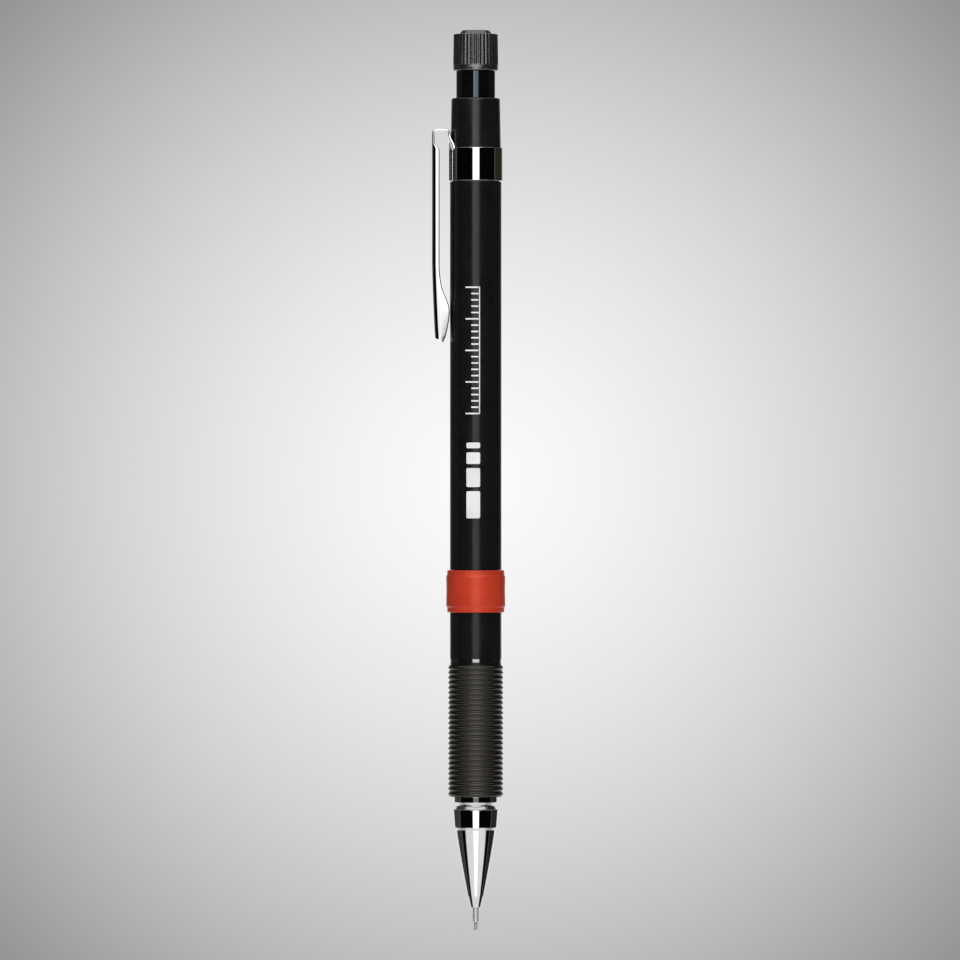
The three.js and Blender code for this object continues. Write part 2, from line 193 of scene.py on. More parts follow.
def stand_for(node, mesh):
    """The fine piece that is shown in place of a CAD node."""
    return place(node + "_fine", mesh, BODY_OF[node], SLOT_OF[node], [node])


def smoothstep(start, end, value):
    t = min(max((value - start) / (end - start), 0), 1)
    return t * t * (3 - 2 * t)


def through(points, steps):
    """A smooth line through points (Catmull-Rom)."""
    padded = [points[0], *points, points[-1]]
    line = []
    for i in range(1, len(padded) - 2):
        a, b, c, d = (Vector(p) for p in padded[i - 1:i + 3])
        for k in range(steps):
            t = k / steps
            line.append(0.5 * (2 * b + (c - a) * t + (2 * a - 5 * b + 4 * c - d) * t ** 2
                               + (3 * b - a - 3 * c + d) * t ** 3))
    line.append(Vector(points[-1]))
    return line


# Materials ----------------------------------------------------------------------------------------------

class Nodes:
    """A node tree, with short ways to add to it. Wherever a value goes, another node's output may go."""

    def __init__(self, tree):
        self.tree = tree

    def node(self, kind, values=(), **settings):
        made = self.tree.nodes.new(kind)
        for key, value in settings.items():
            setattr(made, key, value)
        for socket, value in values:
            if isinstance(value, bpy.types.NodeSocket):
                self.tree.links.new(value, made.inputs[socket])
            else:
                made.inputs[socket].default_value = value
        return made

    def maths(self, operation, *values):
        return self.node("ShaderNodeMath", list(enumerate(values)), operation=operation).outputs[0]

    def ranged(self, value, low_value, high_value, start=0.3, end=0.7):
        """Runs from low_value to high_value while value runs from start to end."""
        made = self.node("ShaderNodeMapRange", [("Value", value), ("From Min", start), ("From Max", end),
                                                ("To Min", low_value), ("To Max", high_value)])
        return made.outputs["Result"]

    def mixed(self, factor, first, second):
        """The first colour where factor is 0 and the second where it is 1."""
        made = self.node("ShaderNodeMix", [("Factor", factor)], data_type="RGBA")
        for socket, colour in ((6, first), (7, second)):
            if isinstance(colour, bpy.types.NodeSocket):
                self.tree.links.new(colour, made.inputs[socket])
            else:
                made.inputs[socket].default_value = (*colour, 1)
        return made.outputs[2]


class Finish(Nodes):
    """A Principled material whose colour, roughness and bump come from noise in the piece's own space."""

    def __init__(self, name, **uniform):
        self.material = bpy.data.materials.new(name)
        self.material.use_nodes = True
        super().__init__(self.material.node_tree)
        self.shader = self.tree.nodes["Principled BSDF"]
        self.place = self.node("ShaderNodeTexCoord").outputs["Object"]
        for socket, value in uniform.items():
            self.shader.inputs[socket.replace("_", " ")].default_value = value

    def noise(self, size, detail=3.0, stretch=(1, 1, 1), offset=0.0):
        """Noise with grains of about that size in millimetres, longer where stretch is above 1."""
        scale = [1 / (size * MM * s) for s in stretch]
        spread = self.node("ShaderNodeMapping", [("Vector", self.place), ("Scale", scale),
                                                 ("Location", (offset, offset, offset))])
        return self.node("ShaderNodeTexNoise", [("Vector", spread.outputs["Vector"]), ("Scale", 1.0),
                                                ("Detail", detail)]).outputs["Fac"]

    def from_axis(self):
        """The distance from the pencil's axis, in millimetres."""
        parts = self.node("ShaderNodeSeparateXYZ", [("Vector", self.place)])
        squares = [self.maths("MULTIPLY", parts.outputs[i], parts.outputs[i]) for i in (0, 1)]
        return self.maths("DIVIDE", self.maths("SQRT", self.maths("ADD", *squares)), MM)

    def between(self, bottom, top):
        """1 between two heights in millimetres and 0 elsewhere."""
        z = self.node("ShaderNodeSeparateXYZ", [("Vector", self.place)]).outputs["Z"]
        height = self.maths("DIVIDE", z, MM)
        return self.maths("COMPARE", height, (bottom + top) / 2, (top - bottom) / 2)

    def worn_edges(self, start=0.52, end=0.6):
        """1 on convex edges and 0 elsewhere."""
        point = self.node("ShaderNodeNewGeometry").outputs["Pointiness"]
        return self.ranged(point, 0.0, 1.0, start, end)

    def link(self, source, socket):
        self.tree.links.new(source, self.shader.inputs[socket])

    def colour(self, source):
        self.link(source, "Base Color")

    def roughness(self, source):
        self.link(source, "Roughness")

    def bump(self, height, depth, strength=1.0):
        """Bump of that depth in millimetres, on top of any bump given before."""
        values = [("Height", height), ("Distance", depth * MM), ("Strength", strength)]
        before = self.shader.inputs["Normal"].links
        if before:
            values.append(("Normal", before[0].from_socket))
        self.link(self.node("ShaderNodeBump", values).outputs["Normal"], "Normal")


def metal(name, dark, light, smooth, rough, scratches, edge=None, metallic=1.0):
    """Metal with smudges, fine scratches round the piece and, if given, a lighter worn edge."""
    finish = Finish(name, Metallic=metallic)
    smudges = finish.noise(1.6, 4.0)
    colour = finish.mixed(finish.ranged(smudges, 0, 1), dark, light)
    if edge:
        colour = finish.mixed(finish.worn_edges(), colour, edge)
    finish.colour(colour)
    finish.roughness(finish.ranged(smudges, smooth, rough))
    finish.bump(finish.noise(0.12, 2.0, stretch=(5, 5, 1), offset=3.0), scratches)
    return finish.material


def plastic(name, dark, light, smooth, rough, grain, grain_size=0.12, speckle=None, buffed=None, **uniform):
    """Moulded plastic: uneven colour, handling marks and a fine grain. speckle is the colour of its dust.
    buffed is the bottom, top and IOR of a band that shines more than the rest."""
    finish = Finish(name, **uniform)
    cloud = finish.noise(2.5, 3.0)
    colour = finish.mixed(finish.ranged(cloud, 0, 1), dark, light)
    if speckle:
        dust = finish.ranged(finish.noise(0.16, 2.0, offset=7.0), 0, 1, 0.66, 0.74)
        colour = finish.mixed(dust, colour, speckle)
    finish.colour(colour)
    marks = finish.noise(0.9, 5.0, stretch=(1, 1, 3), offset=1.5)
    roughness = finish.ranged(marks, smooth, rough, 0.35, 0.68)
    if buffed:
        bottom, top, shine = buffed
        band = finish.between(bottom, top)
        finish.link(finish.ranged(band, uniform["IOR"], shine, 0, 1), "IOR")
        roughness = finish.maths("MULTIPLY", roughness, finish.ranged(band, 1.0, 0.4, 0, 1))
    finish.roughness(roughness)
    finish.bump(finish.noise(grain_size, 3.0, offset=5.0), grain)
    return finish.material


def ribbed_rubber():
    """The grip: matt and nearly black in its grooves, dusty and polished by the fingers on its ridges."""
    finish = Finish("grip_rubber", IOR=1.6, Specular_Tint=(1.0, 0.94, 0.83, 1))
    groove_depth = 0.22
    inner, outer = radius("grip_sleeve") - groove_depth, radius("grip_sleeve")
    rise = finish.ranged(finish.from_axis(), 0.0, 1.0, inner, outer)
    cloud = finish.noise(1.2, 4.0)
    base = finish.mixed(finish.ranged(cloud, 0, 1), (0.0024, 0.0020, 0.0015), (0.0042, 0.0036, 0.0028))
    dusty = finish.mixed(finish.ranged(finish.noise(0.35, 3.0, offset=2.0), 0, 1, 0.5, 0.8), base,
                         (0.0085, 0.0079, 0.0066))
    finish.colour(finish.mixed(rise, (0.0024, 0.0022, 0.0018), dusty))
    polish = finish.maths("MULTIPLY", finish.ranged(cloud, 0.75, 1.0), finish.ranged(rise, 1.25, 0.86, 0, 1))
    finish.roughness(finish.maths("MULTIPLY", polish, 0.31))
    finish.bump(finish.noise(0.12, 2.0, offset=4.0), 0.0015)
    finish.bump(finish.noise(0.6, 2.0, offset=8.0), 0.004)
    return finish.material


def graphite():
    """Dark grey with a slight sheen, its grain along the stick."""
    finish = Finish("graphite", Metallic=0.3)
    grain = finish.noise(0.2, 3.0, stretch=(1, 1, 4))
    finish.colour(finish.mixed(finish.ranged(grain, 0, 1), (0.33, 0.295, 0.28), (0.44, 0.40, 0.38)))
    finish.roughness(finish.ranged(grain, 0.5, 0.65))
    finish.bump(grain, 0.0015)
    return finish.material


def soft_eraser():
    """White vinyl with faint grey smears and a dusty skin."""
    finish = Finish("eraser_white")
    smears = finish.ranged(finish.noise(0.7, 4.0, stretch=(1, 1, 2)), 0, 1, 0.52, 0.78)
    finish.colour(finish.mixed(smears, (0.80, 0.79, 0.76), (0.52, 0.51, 0.5)))
    finish.roughness(finish.ranged(finish.noise(0.3, 3.0), 0.6, 0.85))
    finish.bump(finish.noise(0.08, 4.0, offset=2.0), 0.01)
    return finish.material


# The bevel just above the grip, which is buffed.
BEVEL_BOTTOM = high("grip_sleeve") + 0.5
BEVEL_TOP = high("grip_sleeve") + 1.0

MATERIALS = {
    "chrome": metal("chrome", (0.72, 0.725, 0.725), (0.80, 0.805, 0.80), 0.012, 0.045, 0.00003,
                    edge=(0.86, 0.865, 0.86)),
    "sleeve_steel": metal("sleeve_steel", (0.70, 0.67, 0.65), (0.80, 0.77, 0.75), 0.34, 0.42, 0.00008,
                          metallic=0.55),
    "spring_steel": metal("spring_steel", (0.46, 0.46, 0.47), (0.58, 0.58, 0.6), 0.14, 0.28, 0.0008),
    "brass": metal("brass", (0.60, 0.42, 0.17), (0.74, 0.55, 0.26), 0.14, 0.32, 0.0008,
                   edge=(0.82, 0.66, 0.38)),
    "graphite": graphite(),
    "gloss_black": plastic("gloss_black", (0.0062, 0.0062, 0.0067), (0.0088, 0.0088, 0.0095), 0.17, 0.25,
                           0.0002, speckle=(0.012, 0.012, 0.012), IOR=1.5,
                           buffed=(BEVEL_BOTTOM, BEVEL_TOP, 2.6)),
    "satin_black": plastic("satin_black", (0.0066, 0.0062, 0.0062), (0.0096, 0.0090, 0.0090), 0.2, 0.28,
                           0.0002, speckle=(0.013, 0.0125, 0.0125), IOR=1.56),
    "grip_rubber": ribbed_rubber(),
    "retainer_rubber": plastic("retainer_rubber", (0.018, 0.018, 0.018), (0.03, 0.03, 0.03), 0.5, 0.75,
                               0.006),
    "ring_red": plastic("ring_red", (0.53, 0.043, 0.020), (0.60, 0.053, 0.024), 0.31, 0.39, 0.0004,
                        speckle=(0.63, 0.07, 0.036), IOR=1.95, Specular_Tint=(1.0, 0.3, 0.17, 1)),
    "smoked_tube": plastic("smoked_tube", (0.0025, 0.0028, 0.0032), (0.0045, 0.005, 0.0055), 0.04, 0.1,
                           0.0002, IOR=1.85, Specular_Tint=(0.70, 0.88, 1.0, 1)),
    "crown_dark": plastic("crown_dark", (0.010, 0.0092, 0.0078), (0.0145, 0.0135, 0.0115), 0.24, 0.32,
                          0.0001, IOR=2.5),
    "inner_plastic": plastic("inner_plastic", (0.50, 0.52, 0.53), (0.62, 0.64, 0.65), 0.25, 0.4, 0.0015,
                             speckle=(0.68, 0.69, 0.69)),
    "eraser_white": soft_eraser(),
    "white_ink": plastic("white_ink", (0.80, 0.80, 0.78), (0.90, 0.90, 0.88), 0.4, 0.6, 0.002,
                         grain_size=0.05),
}


# Writing tip --------------------------------------------------------------------------------------------

LEAD = radius("working_lead")
PIPE_BORE = LEAD + 0.06
PIPE_TIP = low("lead_sleeve")
CONE_TIP = low("nose_cone")
SPIGOT_TOP = high("nose_cone")
SPIGOT = 2.85
COLLAR = radius("nose_cone")
GRIP_BOTTOM = low("grip_sleeve")
GRIP_TOP = high("grip_sleeve")
THREAD_PITCH = 0.6
THREAD_DEPTH = 0.13


def lead(name, offset=(0, 0)):
    """A stick of lead; the working one is rubbed round at its end."""
    r = LEAD
    bottom, top = low(name), high(name)
    line = outline([(0, bottom), (r, bottom, 0.06), (r, top, 0.03), (0, top)])
    mesh = turned(name, line, 24)
    mesh.transform(Matrix.Translation((offset[0] * MM, offset[1] * MM, 0)))
    stand_for(name, mesh)


def thread(r, z, angle):
    """A screw thread on the spigot, run out at both ends."""
    start, end = GRIP_BOTTOM + 0.7, SPIGOT_TOP - 0.5
    if r < SPIGOT - 0.02 or not start < z < end:
        return r
    phase = (z / THREAD_PITCH - angle / (2 * math.pi)) % 1
    fade = smoothstep(start, start + 0.6, z) * (1 - smoothstep(end - 0.6, end, z))
    return r - THREAD_DEPTH * fade * smoothstep(0.1, 0.9, abs(2 * phase - 1))


def nose_cone():
    """Bevelled end, slightly convex cone, collar, hollow neck, flange and threaded spigot."""
    bevel_top, cone_top, collar_bottom, collar_top = 5.37, 15.9, 16.3, 19.2
    cone_start, cone_end, bulge = 1.3, 3.215, 0.09
    flange_bottom, neck, brow, flange = 20.3, 2.98, 3.28, 3.45
    pipe_seat, end_face, lead_room, funnel, chuck_room, wide_room = 0.52, 0.8, 1.05, 1.5, 1.95, 2.4
    lead_room_bottom, funnel_bottom, wide_room_bottom = 6.6, 8.6, 13.7
    cone_steps, spigot_steps = 8, 72
    cone = []
    for i in range(cone_steps + 1):
        t = i / cone_steps
        r = cone_start + (cone_end - cone_start) * t + bulge * math.sin(math.pi * t)
        cone.append((r, bevel_top + (cone_top - bevel_top) * t, 0.3 if i in (0, cone_steps) else 0))
    waist = (collar_top + flange_bottom) / 2
    hollow = [(COLLAR - 0.1, collar_top), (brow, collar_top + 0.02, 0.03), (neck, waist, 0.05),
              (brow, flange_bottom - 0.02, 0.03), (flange, flange_bottom)]
    rows = [(SPIGOT, GRIP_BOTTOM, 0.03)]
    for i in range(1, spigot_steps):
        rows.append((SPIGOT, GRIP_BOTTOM + (SPIGOT_TOP - GRIP_BOTTOM) * i / spigot_steps, 0))
    line = outline([
        (pipe_seat, CONE_TIP),
        (end_face, CONE_TIP, 0.08),
        *cone,
        (3.4, collar_bottom, 0.12),
        (COLLAR, collar_top - 0.1, 0.04),
        *hollow,
        (flange, GRIP_BOTTOM),
        *rows,
        (SPIGOT, SPIGOT_TOP, 0.1),
        (wide_room, SPIGOT_TOP, 0.05),
        (wide_room, wide_room_bottom),
        (chuck_room, wide_room_bottom),
        (funnel, funnel_bottom),
        (lead_room, funnel_bottom),
        (lead_room, lead_room_bottom),
        (pipe_seat, lead_room_bottom),
    ])
    stand_for("nose_cone", turned("nose_cone", line, 128, thread))


def add_tip():
    lead("working_lead")
    nose_cone()
    r = radius("lead_sleeve")
    top = high("lead_sleeve")
    line = outline([(PIPE_BORE, PIPE_TIP, 0.03), (r, PIPE_TIP, 0.05), (r, top), (PIPE_BORE, top)])
    stand_for("lead_sleeve", turned("lead_sleeve", line, 48))
    r = radius("lead_retainer")
    bottom, top = low("lead_retainer"), high("lead_retainer")
    waist = (bottom + top) / 2
    line = outline([(PIPE_BORE, bottom, 0.1), (r, bottom, 0.2), (r - 0.08, waist, 0.4), (r, top, 0.2),
                    (PIPE_BORE, top, 0.1)])
    stand_for("lead_retainer", turned("lead_retainer", line, 48))


# Barrel -------------------------------------------------------------------------------------------------

BARREL = radius("barrel")
RIDGES = 26


def front_section():
    """The tube under the grip, and its bare end, bevelled and a little thinner where it meets the rubber.
    A spigot goes up under the ring, and the bore widens at the bottom for the nose cone."""
    bottom, top = low("front_section"), high("front_section")
    shoulder = GRIP_TOP + 0.05
    ring = low("colour_ring") - 0.05
    thinner = BARREL - 0.058
    under_grip, under_ring = 3.42, 3.3
    bore, throat, mouth = 2.75, 2.42, 2.98
    throat_bottom, throat_top = 27.7, 29
    line = outline([
        (mouth, bottom),
        (under_grip, bottom, 0.1),
        (under_grip, shoulder, 0),
        (thinner, shoulder, 0.03),
        (thinner, BEVEL_BOTTOM, 0.03),
        (BARREL, BEVEL_TOP, 0.03),
        (BARREL, ring),
        (under_ring, ring),
        (under_ring, top, 0.15),
        (bore, top),
        (bore, throat_top),
        (throat, throat_top),
        (throat, throat_bottom),
        (mouth, throat_bottom),
    ])
    stand_for("front_section", turned("front_section", line))


def grip_sleeve():
    """Rounded ridges with a groove between each two."""
    ridge, groove, bore = radius("grip_sleeve"), 4.14, 3.5
    fullness, steps = 0.9, 12
    pitch = (GRIP_TOP - GRIP_BOTTOM) / RIDGES
    points = [Vector((bore, GRIP_BOTTOM)), Vector((groove - 0.1, GRIP_BOTTOM))]
    for i in range(RIDGES):
        for t in (k / steps for k in range(steps)):
            swell = (0.5 - 0.5 * math.cos(2 * math.pi * t)) ** fullness
            points.append(Vector((groove + (ridge - groove) * swell, GRIP_BOTTOM + (i + t) * pitch)))
    points += [Vector((groove, GRIP_TOP)), Vector((groove - 0.12, GRIP_TOP)), Vector((bore, GRIP_TOP))]
    stand_for("grip_sleeve", turned("grip_sleeve", points))


def colour_ring():
    """A slightly hollowed band between two narrower lips."""
    bottom, top = low("colour_ring"), high("colour_ring")
    ring, lip_radius, lip, bore = radius("colour_ring"), 4.52, 0.85, 3.42
    waist, waist_rounding = ring - 0.05, 6
    line = outline([
        (bore, bottom),
        (lip_radius, bottom, 0.18),
        (lip_radius + 0.02, bottom + lip - 0.12, 0.3),
        (ring, bottom + lip + 0.24, 0.4),
        (waist, (bottom + top) / 2, waist_rounding),
        (ring, top - lip - 0.24, 0.4),
        (lip_radius + 0.02, top - lip + 0.12, 0.3),
        (lip_radius, top, 0.18),
        (bore, top),
    ])
    stand_for("colour_ring", turned("colour_ring", line, 128))


def barrel_tube():
    """The main tube, its bore wider at both ends for the front section and the end sleeve."""
    bottom, top = low("barrel"), high("barrel")
    plug = low("end_sleeve") - 0.2
    joiner = high("front_section") + 0.2
    front_bore, bore, rear_bore = 3.42, 3.15, 3.62
    line = outline([
        (front_bore, bottom),
        (BARREL, bottom, 0.1),
        (BARREL, top, 0.1),
        (rear_bore, top),
        (rear_bore, plug),
        (bore, plug),
        (bore, joiner),
        (front_bore, joiner),
    ])
    stand_for("barrel", turned("barrel", line, 128))


def end_sleeve():
    """A plug in the barrel, a seat for the clip's band and a tapered head above it."""
    bottom, top = low("end_sleeve"), high("end_sleeve")
    bore, plug, seat, head, brim = 3.2, 3.55, 3.78, 4.0, 3.86
    band_room = 0.05
    line = outline([
        (bore, bottom, 0.1),
        (plug, bottom, 0.1),
        (plug, BAND_BOTTOM - band_room),
        (seat, BAND_BOTTOM - band_room),
        (seat, BAND_TOP + band_room),
        (head, BAND_TOP + band_room, 0.05),
        (brim, top, 0.32),
        (bore, top, 0.08),
    ])
    stand_for("end_sleeve", turned("end_sleeve", line, 128))


def printed_mark(centre, bottom, width, length, rounding):
    """One printed patch with rounded corners, wrapped round the barrel's front: a closed skin as thin as
    paint. centre is measured along the barrel's surface."""
    under, over = BARREL - 0.005, BARREL + 0.012
    across, along, corner = 8, 6, 3
    ease = [rounding * (1 - math.sin(math.pi / 2 * k / corner)) for k in range(corner + 1)]
    heights = [rounding * (1 - math.cos(math.pi / 2 * k / corner)) for k in range(corner + 1)]
    rows = list(zip(heights, ease))
    rows += [(rounding + (length - 2 * rounding) * k / along, 0) for k in range(1, along)]
    rows += [(length - h, e) for h, e in zip(heights[::-1], ease[::-1])]
    loops = []
    for height, inset in rows:
        half = width / 2 - inset
        loop = []
        for reach, order in ((under, range(across + 1)), (over, range(across, -1, -1))):
            for k in order:
                angle = (centre - half + 2 * half * k / across) / BARREL
                loop.append(Vector((reach * math.sin(angle), -reach * math.cos(angle), bottom + height)))
        loops.append(loop)
    return mesh_of("mark", loops, ring=False)


def barrel_print():
    """Generic white print: a plain tick scale above and a row of shrinking bars below."""
    marks = []
    edge, foot, ticks, pitch = 0.45, 82.0, 21, 1.0
    long_tick, short_tick, tick_width, tick_rounding = 2.1, 1.15, 0.24, 0.05
    lowest = foot - tick_width / 2
    for i in range(ticks):
        size = long_tick if i % 5 == 0 else short_tick
        marks.append(printed_mark(edge - size / 2, lowest + i * pitch, size, tick_width, tick_rounding))
    spine = 0.16
    marks.append(printed_mark(edge + spine, lowest, spine, ticks - 1 + tick_width, tick_rounding))
    bar_centre, bar_bottom, bar_width, gap, bar_rounding = -0.4, 65.4, 2.2, 0.65, 0.22
    for size in (4.3, 3.0, 1.85, 0.9):
        marks.append(printed_mark(bar_centre, bar_bottom, bar_width, size, bar_rounding))
        bar_bottom += size + gap
    joined = bmesh.new()
    for mark in marks:
        joined.from_mesh(mark)
    mesh = bpy.data.meshes.new("barrel_print")
    joined.to_mesh(mesh)
    joined.free()
    place("barrel_print", mesh, "barrel")


# Clip ---------------------------------------------------------------------------------------------------

BAND_BOTTOM = low("clip_band")
BAND_TOP = low("clip_band") + 5.25
BAND = 4.3
BAND_BORE = 3.86
SHEET = 0.35
FLAT = SHEET * 1.06  # the depth of a section that has no flanges
TONGUE = 4.02
TONGUE_HALF = 2.8
ARCH_HALF = 1.93
ARM_HALF = 1.9
ARM = -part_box("clip_arm")[0].x / MM
ARM_EDGE = 5.75  # how far the flanges' free edges stand from the axis along the straight arm
ARM_STRAIGHT_END = 106
ARCH_TOP = high("clip_arm")
ARCH = 0.85
CLIP_END = low("clip_arm")
TIP_SLANT = 0.6  # how much higher the web ends than the flanges' edges
TIP_DEPTH = 1.3
TIP_START = 96.5


def clip_band():
    """A rolled band."""
    line = outline([
        (BAND_BORE, BAND_BOTTOM),
        (BAND, BAND_BOTTOM, 0.05),
        (BAND, BAND_TOP, 0.05),
        (BAND_BORE, BAND_TOP),
    ])
    stand_for("clip_band", turned("clip_band", line, 128))


def clip_section(width, depth):
    """The sheet's section across the clip, as (across, inward) points: a web with a flange at each side."""
    tip = 0.16  # the rounding of a flange's free edge, nearly half the sheet
    sharpest, roundest, roundest_inside = 0.18, 0.62, 0.2
    fold = min(roundest, sharpest + 0.6 * (depth - FLAT))
    inner_fold = min(roundest_inside, max(depth - SHEET - tip, 0.01) * 0.8)
    web = width - fold

    def quarter(across, inward, size, start):
        angles = [start - k * math.pi / 10 for k in range(6)]
        return [(across + size * math.cos(a), inward + size * math.sin(a)) for a in angles]

    side = [(0, 0), (web * 0.5, 0), (web - SUPPORT, 0)]
    side += quarter(web, -fold, fold, math.pi / 2)
    side += [(width, -fold - 0.3 * (depth - tip - fold))]
    side += quarter(width - tip, -depth + tip, tip, 0)
    side += quarter(width - SHEET + tip, -depth + tip, tip, -math.pi / 2)[1:]
    for k in range(5):
        angle = k * math.pi / 8
        side.append((width - SHEET - inner_fold + inner_fold * math.cos(angle),
                     -SHEET - inner_fold + inner_fold * math.sin(angle)))
    side += [(web * 0.5, -SHEET), (0, -SHEET)]
    mirrored = [(-across, inward) for across, inward in side[-2:0:-1]]
    return side + mirrored


def arm_line(z):
    """How far the web's outer face stands from the axis at a height: it leans in below the straight arm."""
    length, reach, curve = 12.9, 0.5, 1.3
    lean = max(0.0, (ARM_STRAIGHT_END - z) / length)
    return ARM - reach * lean ** curve


def knee_points():
    """The flange's free edge, from the straight arm round the knee that bears on the barrel."""
    return through([(ARM_EDGE, 105.6), (5.62, 103.6), (5.25, 101.7), (4.58, 100.1), (4.2, 98.8),
                    (4.17, 97.5), (4.42, 95.8), (4.78, 94.2), (5.12, CLIP_END + 0.25)], 8)


def knee_at(z):
    """How far the flange's free edge stands from the axis at a height."""
    points = knee_points()
    if z >= points[0].y:
        return ARM_EDGE
    for a, b in zip(points, points[1:]):
        if b.y <= z <= a.y:
            return a.x + (b.x - a.x) * (a.y - z) / max(a.y - b.y, 1e-6)
    return points[-1].x


def clip_stations():
    """(x, z, normal x, normal z, half width, flange depth, bend) along the sheet's convex side, from the
    tongue's lower end over the arch to the arm's end. bend is 1 where the sheet curves round the barrel."""
    stations = []
    crest = ARCH_TOP - ARCH
    start = BAND_BOTTOM + 0.12
    narrow_start, unbent_start, narrow_end = 123.4, 124.5, 126.6
    for i in range(25):
        z = start + (crest - start) * i / 24
        width = TONGUE_HALF - (TONGUE_HALF - ARCH_HALF) * smoothstep(narrow_start, narrow_end, z)
        bend = 1 - smoothstep(unbent_start, narrow_end, z)
        stations.append((-TONGUE, z, 1, 0, width, FLAT, bend))
    quarters = ((-TONGUE - ARCH, 0, range(1, 17), ARCH_HALF), (-ARM + ARCH, 1, range(17), ARM_HALF))
    for centre, turns, steps, width in quarters:
        for i in steps:
            angle = math.pi / 2 * (turns + i / 16)
            cos, sin = math.cos(angle), math.sin(angle)
            stations.append((centre + ARCH * cos, crest + ARCH * sin, cos, sin, width, FLAT, 0))
    # Close together where the flanges begin, wide apart down the straight arm, and close again at the knee.
    flange_start, flange_full = 125.15, 123.75
    taper, taper_end = 0.02, 93
    heights = [125.9, 125.4, 125.1, 124.9, 124.7, 124.5, 124.3, 124.1, 123.9, flange_full]
    heights += [123.6, 123.3, 122.5]
    heights += [122 - i * 2 for i in range(8)]
    heights += [ARM_STRAIGHT_END - i * 0.35 for i in range(37)]
    for z in heights:
        reach = arm_line(z)
        depth = FLAT + (reach - knee_at(z) - FLAT) * smoothstep(flange_start, flange_full, z)
        width = ARM_HALF - taper * smoothstep(ARM_STRAIGHT_END, taper_end, z)
        stations.append((-reach, z, -1, 0, width, depth, 0))
    return stations


def clip_arm():
    """Tongue, arch, channel-shaped arm and knee, pressed from one strip."""
    loops = []
    for x, z, nx, nz, width, depth, bend in clip_stations():
        loop = []
        for across, inward in clip_section(width, depth):
            y, shift = across, inward
            if bend > 0:
                reach = TONGUE - inward
                angle = across / reach
                y += (reach * math.sin(angle) - across) * bend
                shift += reach * (1 - math.cos(angle)) * bend
            rise = TIP_SLANT * max(0.0, 1 + inward / TIP_DEPTH) * smoothstep(TIP_START, CLIP_END, z)
            loop.append(Vector((x + nx * shift, y, z + nz * shift + rise)))
        loops.append(loop)
    mesh = mesh_of("clip_arm", loops, ring=False)
    mesh.materials.append(MATERIALS["chrome"])
    piece = bpy.data.objects.new("clip_arm_fine", mesh)
    bpy.context.scene.collection.objects.link(piece)
    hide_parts("clip_arm")
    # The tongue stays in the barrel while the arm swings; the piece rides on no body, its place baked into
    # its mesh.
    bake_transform(piece)


def clip_knee():
    """The pad between the flanges: it follows their edges round the knee and closes the clip's end."""
    pad_top, gap = 103.2, 0.03
    half, thickness = ARM_HALF - SHEET - 0.02, 0.3
    line = [p for p in knee_points() if p.y < pad_top]
    line += [Vector((5.6, CLIP_END + 0.14)), Vector((6.05, CLIP_END + 0.3))]  # out towards the web
    loops = []
    for i, point in enumerate(line):
        ahead = line[min(i + 1, len(line) - 1)] - line[max(i - 1, 0)]
        normal = Vector((-ahead.y, ahead.x)).normalized()
        loop = []
        for across, depth in ((-half, 0.0), (-half, thickness), (half, thickness), (half, 0.0)):
            shifted = point + normal * (depth + gap)
            loop.append(Vector((-shifted.x, across, shifted.y)))
        loops.append(loop)
    place("clip_knee_pad", mesh_of("clip_knee_pad", loops, ring=False), "clip", "chrome")


def add_clip():
    clip_band()
    clip_arm()
    clip_knee()


# Chuck mechanism ----------------------------------------------------------------------------------------

def chuck_jaw(index):
    """A third of a slotted collet: a narrow grip inside and a head outside that tapers to a thin shank."""
    name = f"chuck_jaw_{index + 1}"
    front, back = low(name), high(name)
    grip, bore, shank, face, head = 0.3, 0.45, 0.85, 0.9, 1.25
    grip_end, shank_start = front + 3.25, front + 3.6
    line = outline([
        (grip, front, 0.02),
        (face, front, 0.05),
        (head, front + 0.35, 0.08),
        (head, front + 0.75, 0.1),
        (shank, shank_start, 0.6),
        (shank, back, 0.03),
        (bore, back, 0.03),
        (bore, shank_start, 0.05),
        (grip, grip_end, 0.05),
    ])
    loops = []
    turn = index * 2 * math.pi / 3
    steps, half_slot = 16, 0.13
    for k in range(steps + 1):
        loop = []
        for r, z in line:
            reach = math.pi / 3 - math.asin(min(half_slot / r, 1))
            angle = turn + reach * (2 * k / steps - 1)
            loop.append(Vector((r * math.cos(angle), r * math.sin(angle), z)))
        loops.append(loop)
    stand_for(name, mesh_of(name, loops, ring=False))


def return_spring():
    """Round wire, with the first and last turn lying flat."""
    bottom, top = low("return_spring") + 0.2, high("return_spring") - 0.22
    wire, coil, turns = 0.2, 2.12, 10
    around, steps = 14, turns * 48
    flat = 1 / turns
    lift = 2 * wire + 0.04
    loops = []
    for i in range(steps + 1):
        t = i / steps
        climb = min(max((t - flat) / (1 - 2 * flat), 0), 1)
        closed = min(t, flat) + max(t - 1 + flat, 0)
        z = bottom + closed / flat * lift + climb * (top - bottom - 2 * lift)
        angle = 2 * math.pi * turns * t
        out = Vector((math.cos(angle), math.sin(angle), 0))
        loop = []
        for k in range(around):
            turn = 2 * math.pi * k / around
            loop.append(out * (coil + wire * math.cos(turn)) + Vector((0, 0, z + wire * math.sin(turn))))
        loops.append(loop)
    spring = stand_for("return_spring", mesh_of("return_spring", loops, ring=False))
    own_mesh(spring)


def turned_part(name, shape, segments=SEGMENTS):
    """Turns the corners that shape(bottom, top) gives for a CAD node, and shows them in its place."""
    stand_for(name, turned(name, outline(shape(low(name), high(name))), segments))


